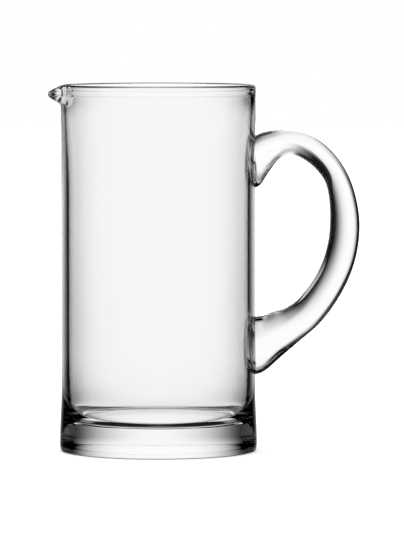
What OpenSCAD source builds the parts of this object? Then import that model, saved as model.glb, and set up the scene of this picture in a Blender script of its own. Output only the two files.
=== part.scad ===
// Cocktail pitcher: a clear blown glass jug with a straight wall, a heavy solid base, a lip drawn
// out of the rim and a thick rod handle that is fused on at its two ends.
// Millimetres, +Z up. The origin is on the jug's axis, in the plane that it stands on.
// The handle points to +X and the lip to -X.

/* [Body] */
// Diameter of the straight wall
body_d = 106; // [90:1:124]
// Height of the rim above the table
body_h = 199.5; // [180:0.5:230]
// How far the foot stands out past the straight wall
foot_flare = 0.9; // [0:0.1:3]
// Height at which the foot has narrowed to the straight wall
foot_h = 34; // [20:1:40]
// Height of the rounded corner of the foot
foot_corner = 3.8; // [1:0.1:6]
// Angle below the level at which that corner ends in the edge that the jug stands on
foot_edge_angle = 44; // [30:1:80]

/* [Wall] */
// Wall just under the rim's bead
wall_top = 2.5; // [2:0.1:3.5]
// Wall at mid height
wall_mid = 4.1; // [3:0.1:5]
// Wall where the flat middle of the floor begins
wall_floor = 20; // [16:0.1:24]
// Height above the floor at which the wall begins to thicken
swell_h = 51; // [36:1:66]
// Thickness of the solid base at its middle
base_t = 14.1; // [10:0.1:20]

/* [Rim] */
// Thickness of the fire-polished bead at the rim
bead_t = 3.1; // [2.6:0.1:4.5]
// Height of the bead
bead_h = 4.6; // [3:0.1:6]
// How far the bead stands out past the wall
bead_proud = 0.15; // [0:0.05:0.6]

/* [Lip] */
// Width of the lip where it leaves the rim
lip_w = 34; // [24:1:44]
// How far the lip's tip stands out past the wall
lip_reach = 6.9; // [3:0.1:10]
// How far the tip lies below the rim
lip_drop = 3.4; // [1:0.1:6]
// Height of wall that the lip is drawn from
lip_h = 12.3; // [9:0.1:18]

/* [Handle] */
// How far the handle stands out from the wall
handle_reach = 56.7; // [45:0.1:70]
// Height of the handle from its lowest to its highest point
handle_h = 133.2; // [110:0.1:145]
// Height of the handle's lowest point above the table
handle_z = 41.5; // [36:0.1:48]
// Width of the rod at the grip, seen from behind
handle_w = 16.4; // [12:0.1:20]

/* [Hidden] */
glass = [0.9, 0.93, 0.92, 0.5];
body_r = body_d / 2;
foot_r = body_r + foot_flare;
bead_z = body_h - bead_h / 2;
bead_outer_r = body_r + bead_proud;
// The neck is the plain wall that the bead runs out into
neck_share = 0.4;
neck_z = bead_z - bead_h / 2 - neck_share * bead_h;
// Share of the jug's height below which the wall has its middle thickness
wall_upper_share = 0.68;
// The inside from the straight wall down to the flat of the floor: the share of the thickening
// that is reached, and the share of the swell's height that is left above the floor
inner_foot_shares = [
    [0, 1], [0.002, 0.705], [0.009, 0.51], [0.025, 0.332], [0.047, 0.233], [0.085, 0.155], [0.145, 0.102],
    [0.233, 0.063], [0.34, 0.035], [0.465, 0.0175], [0.61, 0.008], [0.78, 0.003], [1, 0]
];
overrun = 1;
// How far the lip's own shell lies inside the wall's faces where the two overlap
lip_inset = 0.03;
// Share of the lip's height over which it turns outwards
lip_bend_share = 0.75;
lip_angle = asin(lip_w / 2 / body_r);
lip_notch_angle = lip_angle * 1.06;
lip_shell_angle = lip_angle * 1.12;
lip_z = body_h - lip_h;
lip_notch_z = lip_z - 0.05 * lip_h;
lip_shell_z = lip_z - 0.1 * lip_h;
// The handle's sections: [reach, height] shares of the point on its outer side, the same on its
// inner side, and the share of the grip's width that it has there
handle_section_shares = [
    [[-0.050, 0.967], [-0.050, 0.758], 1.32],
    [[0.053, 0.989], [0.042, 0.774], 1.25],
    [[0.157, 0.998], [0.127, 0.827], 1.13],
    [[0.273, 1.000], [0.233, 0.884], 1.02],
    [[0.423, 0.992], [0.349, 0.900], 0.96],
    [[0.600, 0.961], [0.469, 0.878], 0.94],
    [[0.750, 0.906], [0.582, 0.839], 0.94],
    [[0.868, 0.836], [0.667, 0.788], 0.95],
    [[0.952, 0.748], [0.704, 0.725], 0.98],
    [[1.000, 0.635], [0.716, 0.640], 1.00],
    [[0.986, 0.521], [0.698, 0.546], 1.01],
    [[0.917, 0.412], [0.635, 0.453], 1.02],
    [[0.792, 0.306], [0.533, 0.373], 1.03],
    [[0.621, 0.209], [0.399, 0.303], 1.06],
    [[0.429, 0.137], [0.272, 0.269], 1.13],
    [[0.256, 0.074], [0.166, 0.255], 1.25],
    [[0.111, 0.019], [0.085, 0.241], 1.40],
    [[0.027, 0.000], [0.018, 0.237], 1.47],
    [[-0.050, -0.004], [-0.050, 0.233], 1.48]
];
inner_steps = 3;
handle_steps = 3;
handle_sides = 24;
body_fn = 180;

// A smooth rise from 0 to 1
function ease(u) = (1 - cos(180 * min(1, max(0, u)))) / 2;

// Evenly spaced values from a to b
function steps(a, b, count) = [for (i = [0:count]) a + (b - a) * i / count];

// The foot's radius at a height, from its corner up to the straight wall
function foot_radius(z) = body_r + foot_flare * (1 - ease((z - foot_corner) / (foot_h - foot_corner)));

// The wall's thickness at a height, from the neck down to where it begins to thicken
function wall_at(z) =
    let (upper = wall_upper_share * body_h)
    wall_mid - (wall_mid - wall_top) * ease((z - upper) / (neck_z - upper));

// The outline from the centre of the base out and up to the neck, as [radius, height] points
function outer_outline() =
    let (low = sin(foot_edge_angle))
    concat(
        [[0, 0]],
        [for (a = steps(-foot_edge_angle, 0, 8))
            [foot_r - foot_corner * (1 - cos(a)), foot_corner * (1 + sin(a) / low)]],
        [for (z = steps(foot_corner, foot_h, 10)) if (z > foot_corner) [foot_radius(z), z]]
    );

// Up the outside from a height to the bead, over the rim and down the inside to the same height.
// inset draws it in from the glass's own faces.
function rim_outline(low_z, inset = 0) = concat(
    [for (z = steps(low_z, bead_z, 9))
        [body_r + bead_proud * ease((z - neck_z) / (bead_z - neck_z)) - inset, z]],
    [for (a = steps(0, 180, 12)) if (a > 0 && a < 180)
        [bead_outer_r - bead_t / 2 * (1 - cos(a)) - inset * cos(a),
         bead_z + (bead_h / 2 - inset) * sin(a)]],
    [for (z = steps(bead_z, low_z, 9))
        let (
            bead_in = bead_outer_r - bead_t,
            wall_in = body_r - wall_at(z),
            u = (z - neck_z) / (bead_z - neck_z)
        )
        [wall_in + (bead_in - wall_in) * ease(u) + inset, z]]
);

// A point of the inside by its place in the table, whose first and last rows stand for any beyond them
function inner_foot(i) =
    let (
        last = len(inner_foot_shares) - 1,
        row = inner_foot_shares[min(last, max(0, i))]
    )
    [
        body_r - wall_mid - (wall_floor - wall_mid) * row.x,
        base_t + swell_h * row.y
    ];

// Down the inside from a height to the middle of the floor
function inner_outline(high_z) = concat(
    [for (z = steps(high_z, base_t + swell_h, 12)) if (z < high_z) [body_r - wall_at(z), z]],
    [for (i = [0:len(inner_foot_shares) - 2]) for (k = [1:inner_steps])
        glide(inner_foot(i - 1), inner_foot(i), inner_foot(i + 1), inner_foot(i + 2), k / inner_steps)],
    [[0, base_t]]
);

// A point of the rim's outline carried out into the lip, at an angle from the lip's middle
function lip_point(p, angle) =
    let (
        side = pow(cos(90 * min(1, abs(angle) / lip_angle)), 2),
        up = max(0, (p.y - lip_z) / lip_h),
        r = p.x + lip_reach * side * ease(up / lip_bend_share),
        z = p.y - lip_drop * pow(side, 1.5) * up
    )
    [-r * cos(angle), r * sin(angle), z];

// A smooth curve through values p1 and p2, led by their neighbours p0 and p3
function glide(p0, p1, p2, p3, t) =
    p1 + (p2 - p0) * t / 2
    + (2 * p0 - 5 * p1 + 4 * p2 - p3) * t * t / 2
    + (3 * p1 - p0 - 3 * p2 + p3) * t * t * t / 2;

// A handle section by its place in the table, in millimetres: outer point, inner point, width
function handle_section(i) =
    let (
        last = len(handle_section_shares) - 1,
        row = handle_section_shares[min(last, max(0, i))]
    )
    [
        [body_r + row[0].x * handle_reach, handle_z + row[0].y * handle_h],
        [body_r + row[1].x * handle_reach, handle_z + row[1].y * handle_h],
        row[2] * handle_w
    ];

function handle_between(i, t) = [
    for (k = [0:2])
        glide(handle_section(i - 1)[k], handle_section(i)[k],
              handle_section(i + 1)[k], handle_section(i + 2)[k], t)
];

// One ring of the handle: an oval across the line from its outer to its inner point
function handle_ring(section) = [
    for (j = [0:handle_sides - 1])
        let (
            a = 360 * j / handle_sides,
            middle = (section[0] + section[1]) / 2,
            half = (section[0] - section[1]) / 2
        )
        [middle.x + half.x * cos(a), section[2] / 2 * sin(a), middle.y + half.y * cos(a)]
];

// Triangles that close one ring, zipped across it from its first point to its middle one
function cap(first, sides, turned) = [
    for (j = [0:floor((sides - 1) / 2) - 1])
        let (
            a = first + j,
            b = first + sides - 1 - j
        )
        each concat(
            [turned ? [a, b, a + 1] : [a, a + 1, b]],
            a + 1 < b - 1 ? [turned ? [a + 1, b, b - 1] : [a + 1, b - 1, b]] : []
        )
];

// A closed solid through rings of equal length
module skin(rings) {
    sides = len(rings[0]);
    last = len(rings) - 1;
    walls = [
        for (i = [0:last - 1])
            for (j = [0:sides - 1])
                let (
                    a = i * sides + j,
                    b = i * sides + (j + 1) % sides
                )
                each [[a, b, b + sides], [a, b + sides, a + sides]]
    ];
    polyhedron(
        [for (ring = rings) each ring],
        concat(walls, cap(0, sides, true), cap(last * sides, sides, false))
    );
}

// The jug's outer form with no inside, which the handle's ends lie against
module outer_form() {
    rotate_extrude($fn = body_fn)
        polygon(concat(outer_outline(), [[body_r, body_h], [0, body_h]]));
}

module vessel() {
    rotate_extrude($fn = body_fn)
        polygon(concat(outer_outline(), rim_outline(neck_z), inner_outline(neck_z)));
}

// The sector of the rim that the lip takes the place of
module lip_notch() {
    reach = body_r + lip_reach;
    half = reach * tan(lip_notch_angle);
    translate([0, 0, lip_notch_z])
        linear_extrude(height = body_h - lip_notch_z + overrun)
            polygon([[0, 0], [-reach, half], [-reach, -half]]);
}

module lip() {
    skin([
        for (angle = steps(lip_shell_angle, -lip_shell_angle, 28))
            [for (p = rim_outline(lip_shell_z, lip_inset)) lip_point(p, angle)]
    ]);
}

module body() {
    color(glass) {
        difference() {
            vessel();
            lip_notch();
        }
        lip();
    }
}

module handle() {
    last = len(handle_section_shares) - 2;
    color(glass)
        difference() {
            skin(concat(
                [for (i = [0:last]) for (k = [0:handle_steps - 1])
                    handle_ring(handle_between(i, k / handle_steps))],
                [handle_ring(handle_section(last + 1))]
            ));
            outer_form();
        }
}

body();
handle();
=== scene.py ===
"""Looks of the cocktail pitcher: a clear blown glass jug and its drawn handle on a white table.

Metres, +Z up, the jug's axis is the Z axis. The lip points to -X and the handle to +X.
"""

import math

import bpy
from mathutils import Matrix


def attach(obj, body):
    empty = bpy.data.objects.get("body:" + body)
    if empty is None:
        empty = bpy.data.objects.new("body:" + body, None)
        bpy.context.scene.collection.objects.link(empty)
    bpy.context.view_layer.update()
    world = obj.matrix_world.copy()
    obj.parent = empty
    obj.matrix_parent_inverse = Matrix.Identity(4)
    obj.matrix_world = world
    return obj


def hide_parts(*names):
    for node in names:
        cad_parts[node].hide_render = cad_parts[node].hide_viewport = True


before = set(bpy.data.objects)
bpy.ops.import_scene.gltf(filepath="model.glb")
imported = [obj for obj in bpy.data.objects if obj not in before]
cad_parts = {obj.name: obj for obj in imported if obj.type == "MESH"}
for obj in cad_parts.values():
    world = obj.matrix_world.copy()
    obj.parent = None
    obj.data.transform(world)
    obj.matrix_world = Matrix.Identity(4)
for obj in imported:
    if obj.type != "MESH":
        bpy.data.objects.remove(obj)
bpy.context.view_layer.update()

# Sizes of the jug in millimetres, angles in degrees
MM = 0.001
BODY_R = 53.0
FOOT_FLARE, FOOT_H, FOOT_CORNER = 0.9, 34.0, 3.8
# How far round the foot's corner goes before it meets the underside in a crisp edge
FOOT_EDGE = 33.0
RIM_Z, BEAD_T, BEAD_H, BEAD_PROUD = 199.5, 3.1, 4.6, 0.15
WALL_TOP, WALL_MID, WALL_FLOOR = 2.5, 4.1, 20.0
SWELL_H, BASE_T = 51.0, 14.1
LIP_W, LIP_REACH, LIP_DROP, LIP_H = 34.0, 6.9, 3.4, 12.3
LIP_ANGLE = math.asin(LIP_W / 2 / BODY_R)
HANDLE_REACH, HANDLE_H, HANDLE_Z, HANDLE_W = 56.7, 133.2, 41.5, 16.4
# The rod is cut off this little inside the wall's outer face
HANDLE_BITE = 0.3

BEAD_Z = RIM_Z - BEAD_H / 2
NECK_Z = BEAD_Z - 0.9 * BEAD_H
# From here up to the neck the wall gets thinner
THINNING_Z = 0.68 * RIM_Z
# Below this level the lip moves nothing
PLAIN_Z = RIM_Z - LIP_H - 4

# The inside from the straight wall down to the flat of the floor: the share of the thickening that is
# reached, and the share of the swell's height that is left above the floor
INNER_FOOT = [
    (0, 1), (0.002, 0.705), (0.009, 0.51), (0.025, 0.332), (0.047, 0.233),
    (0.085, 0.155), (0.145, 0.102), (0.233, 0.063), (0.34, 0.035), (0.465, 0.0175),
    (0.61, 0.008), (0.78, 0.003), (1, 0),
]

# Outer point, inner point (shares of reach and height) and width share of each handle section
HANDLE = [
    ((-0.050, 0.967), (-0.050, 0.758), 1.32),
    ((0.053, 0.989), (0.042, 0.774), 1.25),
    ((0.157, 0.998), (0.127, 0.827), 1.13),
    ((0.273, 1.000), (0.233, 0.884), 1.02),
    ((0.423, 0.992), (0.349, 0.900), 0.96),
    ((0.600, 0.961), (0.469, 0.878), 0.94),
    ((0.750, 0.906), (0.582, 0.839), 0.94),
    ((0.868, 0.836), (0.667, 0.788), 0.95),
    ((0.952, 0.748), (0.704, 0.725), 0.98),
    ((1.000, 0.635), (0.716, 0.640), 1.00),
    ((0.986, 0.521), (0.698, 0.546), 1.01),
    ((0.917, 0.412), (0.635, 0.453), 1.02),
    ((0.792, 0.306), (0.533, 0.373), 1.03),
    ((0.621, 0.209), (0.399, 0.303), 1.06),
    ((0.429, 0.137), (0.272, 0.269), 1.13),
    ((0.256, 0.074), (0.166, 0.255), 1.25),
    ((0.111, 0.019), (0.085, 0.241), 1.40),
    ((0.027, 0.000), (0.018, 0.237), 1.47),
    ((-0.050, -0.004), (-0.050, 0.233), 1.48),
]

# The lip reaches fully out at this share of its height, and hangs more sharply in its middle
LIP_OUT, LIP_SAG = 0.75, 1.5

# How fine the meshes are: sides round the jug, and rows up its outside, over the rim and down its inside
LIP_SIDES, WALL_SIDES = 56, 232
CORNER_ROWS, FLARE_ROWS, WALL_ROWS, LIP_ROWS, RIM_ROWS = 13, 16, 40, 26, 24
INNER_ROWS, FLOOR_ROWS = 24, 12
# Rings close beside the foot's edge keep its smoothed shading off the underside and the corner: shares
# of the flat underside, millimetres in from the edge, and degrees round the corner from it
FLAT_SHARES, EDGE_IN, EDGE_ROUND = (0, 0.2, 0.4, 0.6, 0.8, 0.93), (0.2, 0.03), (0.4, 1.6, 3.5)
ROD_SIDES, ROD_STEPS, FOOT_STEPS = 64, 9, 6
# So many rings next to each cut of the rod close up towards it, and these shares of it close its end
CLOSE_RINGS, END_SHARES = 6, (0.8, 0.6, 0.4, 0.2)
HALVINGS = 40

# Glass: its clear colour, the nearly black of the painted shade on its edges, and the tint of its thick
# parts
CLEAR, SHADE_PAINT_BLACK = (0.997, 0.998, 0.999, 1), (0.02, 0.02, 0.022, 1)
IOR = 1.5
TINT, TINT_DENSITY = (0.3, 0.4, 0.5, 1), 0.35
# Waves: size and stretch along the jug's height on each piece, and depth in metres
BODY_WAVES, HANDLE_WAVES, WAVE_DEPTH = (22.0, 0.35), (40.0, 0.6), 0.00004
# How far a surface turns away from the view where the painted shade on its edge starts, and where that is
# full
BODY_SHADE_EDGES, HANDLE_SHADE_EDGES = (0.3, 0.8), (0.18, 0.5)
# Where the painted shade on edges may come, in metres: out on the lip, and low on the handle
LIP_FULL_X, LIP_NONE_X = -0.0585, -0.055
JOIN_FULL_Z, JOIN_NONE_Z = 0.055, 0.075
# The same for the painted shade by how much a surface faces up or down: full on upright ones
UPRIGHT_FULL, UPRIGHT_NONE = 0.35, 0.8

# Lights of the room as the glass sees them: brightness, then (none, full, full, none) in degrees to
# either side of straight back, and the same in degrees below the level
ROOM_LIGHTS = [
    (0.95, (92, 110, 180, 181), (-8, -4, 30, 40)),
    (0.9, (80, 90, 180, 181), (-6, -2, 6, 10)),
    (0.95, (32, 40, 80, 92), (15, 21, 33, 40)),
    (0.5, (-2, -1, 20, 25), (12, 20, 90, 91)),
    (2.6, (92, 110, 180, 181), (-40, -32, -12, -6)),
]
# Light on the white table, and the share of the room's light that is left after a mirroring
SKY, MIRRORED = 1.8, 0.25

# The cloth behind the jug: the width of its glow, how sharp the glow's edge is and its brightness, all
# below the lowest step, then what is added to each of them from one height to another
CARD_START = (0.125, 2.2, 0.95)
CARD_STEPS = [
    (-0.03, 0.03, 0.045, 0.8, 0.0),
    (0.03, 0.14, 0.015, 1.0, 0.0),
    (-0.1, 0.05, 0.0, 0.0, 0.1),
    (0.15, 0.18, -0.085, 0.3, 0.0),
    (0.21, 0.27, 0.035, 0.0, -0.4),
    (0.3, 0.4, 0.0, 0.0, 0.4),
]
CARD_W, CARD_Y, CARD_LO, CARD_HI = 0.33, 0.3, -0.3, 0.6
# The cloth is clear where its glow is nothing, and full cloth from this share of it
CARD_CLEAR = 0.04

TABLE_HALF, TABLE_Z, TABLE_WHITE = 6, -0.0004, (0.9, 0.9, 0.9, 1)

CAMERA_PLACE, CAMERA_DOWN = (0.0238, -2.73, 0.26), 3.389
SENSOR, LENS, CLIP = 36.0, 334.0, (0.1, 30.0)


def ease(u):
    return (1 - math.cos(math.pi * min(1.0, max(0.0, u)))) / 2


def spread(a, b, count):
    return [a + (b - a) * i / count for i in range(count + 1)]


def direction(degrees):
    return math.cos(math.radians(degrees)), math.sin(math.radians(degrees))


def blend(a, b, share):
    return tuple(p + (q - p) * share for p, q in zip(a, b))


def glide(p0, p1, p2, p3, t):
    """A smooth curve from p1 to p2, with p0 before them and p3 after."""
    return (
        p1
        + (p2 - p0) * t / 2
        + (2 * p0 - 5 * p1 + 4 * p2 - p3) * t * t / 2
        + (3 * p1 - p0 - 3 * p2 + p3) * t**3 / 2
    )


def curve(rows, steps):
    """Rows of numbers with smooth steps between them."""
    last = len(rows) - 1
    out = []
    for i in range(last):
        near = rows[max(0, i - 1)], rows[i], rows[i + 1], rows[min(last, i + 2)]
        out += [tuple(glide(*four, k / steps) for four in zip(*near)) for k in range(steps)]
    return out + [rows[last]]


def foot_radius(z):
    return BODY_R + FOOT_FLARE * (1 - ease((z - FOOT_CORNER) / (FOOT_H - FOOT_CORNER)))


def wall_at(z):
    return WALL_MID - (WALL_MID - WALL_TOP) * ease((z - THINNING_Z) / (NECK_Z - THINNING_Z))


def bead_at(z):
    """0 below the rim's bead, rising to 1 at its middle."""
    return ease((z - NECK_Z) / (BEAD_Z - NECK_Z))


def outline():
    """The jug's outline from the middle of the underside over the rim to the middle of the floor."""
    flat = BODY_R + FOOT_FLARE - FOOT_CORNER
    points = [(flat * s, 0.0) for s in FLAT_SHARES]
    across, low = direction(FOOT_EDGE)
    rise = FOOT_CORNER / low
    points += [(flat + FOOT_CORNER * across - inward, 0.0) for inward in EDGE_IN]
    near, next_to, start = (a - FOOT_EDGE for a in EDGE_ROUND)
    for a in [near, next_to] + spread(start, 0, CORNER_ROWS):
        c, s = direction(a)
        points.append((flat + FOOT_CORNER * c, rise * (low + s)))
    points += [(foot_radius(z), z) for z in spread(FOOT_CORNER, FOOT_H, FLARE_ROWS)[1:]]
    points += [(BODY_R, z) for z in spread(FOOT_H, PLAIN_Z, WALL_ROWS)[1:]]
    points += [(BODY_R + BEAD_PROUD * bead_at(z), z) for z in spread(PLAIN_Z, BEAD_Z, LIP_ROWS)[1:]]
    for a in spread(0, 180, RIM_ROWS)[1:-1]:
        c, s = direction(a)
        points.append((BODY_R + BEAD_PROUD - BEAD_T / 2 * (1 - c), BEAD_Z + BEAD_H / 2 * s))
    for z in spread(BEAD_Z, PLAIN_Z, LIP_ROWS):
        wall = BODY_R - wall_at(z)
        bead = BODY_R + BEAD_PROUD - BEAD_T
        points.append((wall + (bead - wall) * bead_at(z), z))
    points += [(BODY_R - wall_at(z), z) for z in spread(PLAIN_Z, BASE_T + SWELL_H, INNER_ROWS)[1:]]
    foot = [
        (BODY_R - WALL_MID - (WALL_FLOOR - WALL_MID) * t, BASE_T + SWELL_H * h) for t, h in INNER_FOOT
    ]
    points += curve(foot, FOOT_STEPS)[1:]
    points += [(foot[-1][0] * s, BASE_T) for s in spread(1, 0, FLOOR_ROWS)[1:]]
    return points


def lip_point(r, z, angle):
    """A point of the outline carried out into the lip, at an angle from the lip's middle."""
    side = math.cos(math.pi / 2 * min(1.0, abs(angle) / LIP_ANGLE)) ** 2
    up = max(0.0, (z - RIM_Z + LIP_H) / LIP_H)
    r += LIP_REACH * side * ease(up / LIP_OUT)
    z -= LIP_DROP * side**LIP_SAG * up
    return -r * math.cos(angle) * MM, r * math.sin(angle) * MM, z * MM


def make_piece(name, points, faces, material):
    mesh = bpy.data.meshes.new(name)
    mesh.from_pydata(points, [], faces)
    mesh.validate()
    mesh.shade_smooth()
    mesh.materials.append(material)
    piece = bpy.data.objects.new(name, mesh)
    bpy.context.collection.objects.link(piece)
    return piece


def lathe_body(material):
    profile = outline()
    # Angles from the lip's middle, closer together across the lip
    angles = spread(-LIP_ANGLE, LIP_ANGLE, LIP_SIDES)
    angles += spread(LIP_ANGLE, 2 * math.pi - LIP_ANGLE, WALL_SIDES)[1:-1]
    angles = [a - 2 * math.pi if a > math.pi else a for a in angles]
    sides, rows = len(angles), len(profile) - 2
    points = [lip_point(r, z, a) for r, z in profile[1:-1] for a in angles]
    low, high = len(points), len(points) + 1
    points += [(0, 0, profile[0][1] * MM), (0, 0, profile[-1][1] * MM)]
    faces = []
    for j in range(sides):
        k = (j + 1) % sides
        faces.append((low, j, k))
        for i in range(0, (rows - 1) * sides, sides):
            faces.append((i + j, i + sides + j, i + sides + k, i + k))
        faces.append(((rows - 1) * sides + j, high, (rows - 1) * sides + k))
    return make_piece("jug_body", points, faces, material)


def rod_lines():
    """Lines along the rod, side by side round it, that start and end inside the wall."""
    rows = []
    for (outer_x, outer_z), (inner_x, inner_z), width in HANDLE:
        rows.append(
            (
                BODY_R + outer_x * HANDLE_REACH,
                HANDLE_Z + outer_z * HANDLE_H,
                BODY_R + inner_x * HANDLE_REACH,
                HANDLE_Z + inner_z * HANDLE_H,
                width * HANDLE_W,
            )
        )
    sections = curve(rows, ROD_STEPS)
    lines = []
    for j in range(ROD_SIDES):
        a = 2 * math.pi * j / ROD_SIDES
        c, s = math.cos(a), math.sin(a)
        lines.append(
            [
                ((ox + ix) / 2 + (ox - ix) / 2 * c, w / 2 * s, (oz + iz) / 2 + (oz - iz) / 2 * c)
                for ox, oz, ix, iz, w in sections
            ]
        )
    return lines


def meet_wall(inner, outer, wall_r):
    """The point between the two where the radius is that of the wall."""
    low, high = 0.0, 1.0
    for _ in range(HALVINGS):
        mid = (low + high) / 2
        x, y, _z = blend(inner, outer, mid)
        if math.hypot(x, y) < wall_r:
            low = mid
        else:
            high = mid
    return blend(inner, outer, high)


def point_at(line, t):
    """The point of a line at a place that may lie between two of its points."""
    low = min(len(line) - 1, int(t))
    return blend(line[low], line[min(len(line) - 1, low + 1)], t - low)


def close_end(points, faces, prev, wall_r, turned):
    """Closes the ring that starts at prev by rings that shrink to a point on the wall's cylinder."""
    ring = points[prev : prev + ROD_SIDES]
    mid_y = sum(p[1] for p in ring) / ROD_SIDES
    mid_z = sum(p[2] for p in ring) / ROD_SIDES
    for share in END_SHARES:
        start = len(points)
        for p in ring:
            y, z = mid_y + (p[1] - mid_y) * share, mid_z + (p[2] - mid_z) * share
            points.append((math.sqrt(wall_r**2 - y * y), y, z))
        for j in range(ROD_SIDES):
            k = (j + 1) % ROD_SIDES
            quad = (prev + j, prev + k, start + k, start + j)
            faces.append(quad[::-1] if turned else quad)
        prev = start
    centre = len(points)
    points.append((math.sqrt(wall_r**2 - mid_y**2), mid_y, mid_z))
    for j in range(ROD_SIDES):
        tri = (prev + j, prev + (j + 1) % ROD_SIDES, centre)
        faces.append(tri[::-1] if turned else tri)


def sweep_handle(material):
    """The handle's rings, cut off just inside the jug's wall and closed there with the wall's own curve."""
    wall_r = BODY_R - HANDLE_BITE
    lines = []
    for line in rod_lines():
        inside = [math.hypot(p[0], p[1]) < wall_r for p in line]
        lines.append((line, inside.index(False), len(line) - 1 - inside[::-1].index(False)))
    # Between these two the rings stay whole, beyond them they close up towards the cuts
    whole_first = max(first for _, first, _ in lines) + CLOSE_RINGS
    whole_last = min(last for _, _, last in lines) - CLOSE_RINGS
    columns = []
    for line, first, last in lines:
        tail = len(line) - 1 - whole_last
        column = [meet_wall(line[first - 1], line[first], wall_r)]
        column += [point_at(line, t) for t in spread(first, whole_first, whole_first)[1:]]
        column += line[whole_first + 1 : whole_last]
        column += [point_at(line, t) for t in spread(whole_last, last, tail)[:-1]]
        column.append(meet_wall(line[last + 1], line[last], wall_r))
        columns.append(column)
    points = [p for ring in zip(*columns) for p in ring]
    faces = []
    last_ring = len(points) - ROD_SIDES
    for i in range(0, last_ring, ROD_SIDES):
        for j in range(ROD_SIDES):
            k = (j + 1) % ROD_SIDES
            faces.append((i + k, i + j, i + ROD_SIDES + j, i + ROD_SIDES + k))
    close_end(points, faces, 0, wall_r, False)
    close_end(points, faces, last_ring, wall_r, True)
    points = [(x * MM, y * MM, z * MM) for x, y, z in points]
    return make_piece("jug_handle", points, faces, material)


class Tree:
    """Short ways to add shader nodes to a tree."""

    def __init__(self, tree):
        self.nodes, self.link = tree.nodes, tree.links.new

    def add(self, kind):
        return self.nodes.new("ShaderNode" + kind)

    def math(self, operation, *values):
        node = self.add("Math")
        node.operation = operation
        for i, v in enumerate(values):
            if isinstance(v, (int, float)):
                node.inputs[i].default_value = v
            else:
                self.link(v, node.inputs[i])
        return node.outputs["Value"]

    def fade(self, value, start, end):
        """1 at start, falling in a smooth curve to 0 at end."""
        node = self.add("MapRange")
        node.interpolation_type = "SMOOTHSTEP"
        self.link(value, node.inputs["Value"])
        node.inputs["From Min"].default_value = start
        node.inputs["From Max"].default_value = end
        node.inputs["To Min"].default_value = 1.0
        node.inputs["To Max"].default_value = 0.0
        return node.outputs["Result"]

    def rise(self, value, start, end):
        """0 at start, rising in a smooth curve to 1 at end."""
        return self.math("SUBTRACT", 1.0, self.fade(value, start, end))

    def band(self, value, none_low, full_low, full_high, none_high):
        """1 between the two full values, falling to 0 at the two outer ones."""
        low = self.rise(value, none_low, full_low)
        return self.math("MULTIPLY", low, self.fade(value, full_high, none_high))

    def place(self, kind):
        """X, Y and Z of the place that is shaded, or of its normal."""
        split = self.add("SeparateXYZ")
        self.link(self.add("TexCoord").outputs[kind], split.inputs["Vector"])
        return [split.outputs[k] for k in "XYZ"]

    def seen_by_glass(self, path):
        """1 on a ray that has been mirrored or has gone through glass."""
        return self.math("MAXIMUM", path.outputs["Is Glossy Ray"], path.outputs["Is Transmission Ray"])

    def surface_mix(self, share, first, second):
        """The first shader where the share is 0, the second where it is 1, as the surface."""
        mix = self.add("MixShader")
        self.link(share, mix.inputs["Fac"])
        self.link(first, mix.inputs[1])
        self.link(second, mix.inputs[2])
        self.link(mix.outputs["Shader"], self.nodes["Material Output"].inputs["Surface"])


def new_material(name):
    mat = bpy.data.materials.new(name)
    mat.use_nodes = True
    return mat, Tree(mat.node_tree)


def wave_group():
    """The slow waviness of blown glass, as a bump."""
    group = bpy.data.node_groups.new("blown_waves", "ShaderNodeTree")
    for name in ("Size", "Stretch", "Depth"):
        group.interface.new_socket(name=name, in_out="INPUT", socket_type="NodeSocketFloat")
    group.interface.new_socket(name="Normal", in_out="OUTPUT", socket_type="NodeSocketVector")
    t = Tree(group)
    inside, outside = t.nodes.new("NodeGroupInput"), t.nodes.new("NodeGroupOutput")
    where = t.add("TexCoord")
    shape = t.add("CombineXYZ")
    shape.inputs["X"].default_value = 1.0
    shape.inputs["Y"].default_value = 1.0
    t.link(inside.outputs["Stretch"], shape.inputs["Z"])
    squeeze = t.add("VectorMath")
    squeeze.operation = "MULTIPLY"
    t.link(where.outputs["Object"], squeeze.inputs[0])
    t.link(shape.outputs["Vector"], squeeze.inputs[1])
    noise = t.add("TexNoise")
    noise.inputs["Detail"].default_value = 1.0
    t.link(squeeze.outputs["Vector"], noise.inputs["Vector"])
    t.link(inside.outputs["Size"], noise.inputs["Scale"])
    bump = t.add("Bump")
    bump.inputs["Strength"].default_value = 1.0
    t.link(inside.outputs["Depth"], bump.inputs["Distance"])
    t.link(noise.outputs["Fac"], bump.inputs["Height"])
    t.link(bump.outputs["Normal"], outside.inputs["Normal"])
    return group


def lip_shade_mask(t):
    """1 on the lip, out past the wall: where the painted shade goes on the body."""
    x, _, _ = t.place("Object")
    return t.fade(x, LIP_FULL_X, LIP_NONE_X)


def upright_or_low_shade_mask(t):
    """1 where the rod's side is upright, and all round its lower join: where the painted shade goes on the
    handle.
    """
    _, _, up = t.place("Normal")
    _, _, z = t.place("Object")
    upright = t.fade(t.math("ABSOLUTE", up), UPRIGHT_FULL, UPRIGHT_NONE)
    return t.math("MAXIMUM", upright, t.fade(z, JOIN_FULL_Z, JOIN_NONE_Z))


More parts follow.
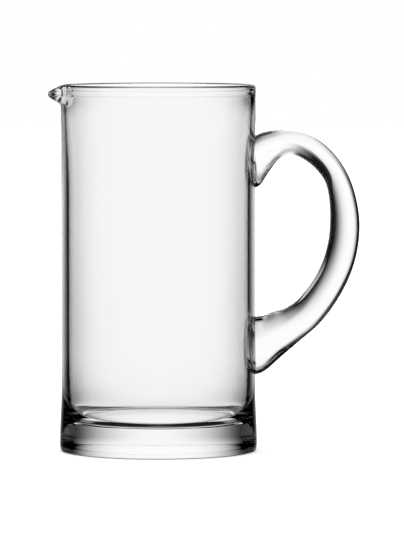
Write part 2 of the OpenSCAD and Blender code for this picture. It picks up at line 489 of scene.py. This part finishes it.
def glass(name, waves, wave_shape, edges, places):
    """Clear glass with painted edges, nearly black, where the photograph has them: the lights alone
    don't make these. They come where the surface turns away from the view, in the given places only.
    """
    mat, t = new_material(name)
    shader = t.nodes["Principled BSDF"]
    shader.inputs["Roughness"].default_value = 0.0
    shader.inputs["Metallic"].default_value = 0.0
    shader.inputs["IOR"].default_value = IOR
    shader.inputs["Transmission Weight"].default_value = 1.0
    ripple = t.add("Group")
    ripple.node_tree = waves
    ripple.inputs["Size"].default_value, ripple.inputs["Stretch"].default_value = wave_shape
    ripple.inputs["Depth"].default_value = WAVE_DEPTH
    t.link(ripple.outputs["Normal"], shader.inputs["Normal"])
    # Painted shade: nearly black mixed into the glass's colour where the surface turns away from the view,
    # only in the given places
    weight = t.add("LayerWeight")
    weight.inputs["Blend"].default_value = 0.5
    dark = t.math("MULTIPLY", t.rise(weight.outputs["Facing"], *edges), places(t))
    mix = t.add("Mix")
    mix.data_type = "RGBA"
    t.link(dark, mix.inputs["Factor"])
    mix.inputs["A"].default_value = CLEAR
    mix.inputs["B"].default_value = SHADE_PAINT_BLACK
    t.link(mix.outputs["Result"], shader.inputs["Base Color"])
    tint = t.add("VolumeAbsorption")
    tint.inputs["Color"].default_value = TINT
    tint.inputs["Density"].default_value = TINT_DENSITY
    t.link(tint.outputs["Volume"], t.nodes["Material Output"].inputs["Volume"])
    return mat


def table():
    """A white table for the camera, well past the picture's edges. The glass sees through it."""
    mat, t = new_material("table_white")
    shader = t.nodes["Principled BSDF"]
    shader.inputs["Base Color"].default_value = TABLE_WHITE
    shader.inputs["Roughness"].default_value = 1.0
    shader.inputs["Specular IOR Level"].default_value = 0.0
    seen = t.seen_by_glass(t.add("LightPath"))
    t.surface_mix(seen, shader.outputs["BSDF"], t.add("BsdfTransparent").outputs["BSDF"])
    h, z = TABLE_HALF, TABLE_Z
    corners = [(-h, -h, z), (h, -h, z), (h, h, z), (-h, h, z)]
    make_piece("table", corners, [(0, 1, 2, 3)], mat)


def studio():
    """White for the camera and for the light on the table. The glass doesn't see that white: it sees a
    dark room with soft light in a few directions.
    """
    world = bpy.data.worlds.new("studio")
    bpy.context.scene.world = world
    world.use_nodes = True
    t = Tree(world.node_tree)
    x, y, z = t.place("Generated")
    # Angles in degrees: how far below the level, and how far to either side of straight back
    height = t.math("ARCSINE", t.math("MINIMUM", t.math("MAXIMUM", z, -1.0), 1.0))
    below = t.math("MULTIPLY", height, -math.degrees(1))
    aside = t.math("MULTIPLY", t.math("ARCTAN2", t.math("ABSOLUTE", x), y), math.degrees(1))
    total = 0.0
    for light, sides, heights in ROOM_LIGHTS:
        part = t.math("MULTIPLY", t.band(aside, *sides), t.band(below, *heights))
        total = t.math("MAXIMUM", total, t.math("MULTIPLY", part, light))
    path = t.add("LightPath")
    # What is mirrored in the glass on the way is dimmer than what is seen straight through it
    through = t.math("MAXIMUM", t.math("SUBTRACT", 1.0, path.outputs["Glossy Depth"]), MIRRORED)
    total = t.math("MULTIPLY", total, through)
    sky = t.math("MULTIPLY", path.outputs["Is Diffuse Ray"], SKY)
    light = t.add("Mix")
    light.data_type = "FLOAT"
    t.link(t.seen_by_glass(path), light.inputs["Factor"])
    t.link(t.math("ADD", path.outputs["Is Camera Ray"], sky), light.inputs["A"])
    t.link(total, light.inputs["B"])
    shade = t.nodes["Background"]
    t.link(light.outputs["Result"], shade.inputs["Strength"])
    shade.inputs["Color"].default_value = (1, 1, 1, 1)


def light_card():
    """The glowing cloth behind the jug, which only the glass sees."""
    mat, t = new_material("light_card")
    t.nodes.remove(t.nodes["Principled BSDF"])
    x, _, z = t.place("Object")
    width, sharpness, shine = CARD_START
    for start, end, more_width, more_sharpness, more_shine in CARD_STEPS:
        rise = t.rise(z, start, end)
        width = t.math("ADD", width, t.math("MULTIPLY", rise, more_width))
        sharpness = t.math("ADD", sharpness, t.math("MULTIPLY", rise, more_sharpness))
        shine = t.math("ADD", shine, t.math("MULTIPLY", rise, more_shine))
    away = t.math("DIVIDE", t.math("ABSOLUTE", x), width)
    bell = t.math("EXPONENT", t.math("MULTIPLY", t.math("POWER", away, sharpness), -1.0))
    glow = t.add("Emission")
    t.link(t.math("MULTIPLY", bell, shine), glow.inputs["Strength"])
    # Beyond its soft edge the cloth is clear
    clear = t.add("BsdfTransparent")
    t.surface_mix(t.fade(bell, 0.0, CARD_CLEAR), glow.outputs["Emission"], clear.outputs["BSDF"])
    w, y, lo, hi = CARD_W, CARD_Y, CARD_LO, CARD_HI
    corners = [(-w, y, lo), (w, y, lo), (w, y, hi), (-w, y, hi)]
    card = make_piece("light_card", corners, [(0, 1, 2, 3)], mat)
    card.visible_camera = False
    card.visible_diffuse = False
    card.visible_shadow = False


def aim_camera():
    cam = bpy.data.cameras.new("camera")
    cam.sensor_width, cam.lens = SENSOR, LENS
    cam.clip_start, cam.clip_end = CLIP
    camera = bpy.data.objects.new("camera", cam)
    camera.location = CAMERA_PLACE
    camera.rotation_euler = (math.radians(90 - CAMERA_DOWN), 0, 0)
    bpy.context.collection.objects.link(camera)
    bpy.context.scene.camera = camera
    bpy.context.scene.view_settings.view_transform = "Standard"


waves = wave_group()
# Painted shade on edges: on the body only out on the lip, on the handle on its upright sides and lower join
body = lathe_body(glass("body_glass", waves, BODY_WAVES, BODY_SHADE_EDGES, lip_shade_mask))
handle = sweep_handle(glass("handle_glass", waves, HANDLE_WAVES, HANDLE_SHADE_EDGES, upright_or_low_shade_mask))
for piece, node in ((body, "body"), (handle, "handle")):
    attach(piece, "root")
    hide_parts(node)

table()
studio()
light_card()
aim_camera()
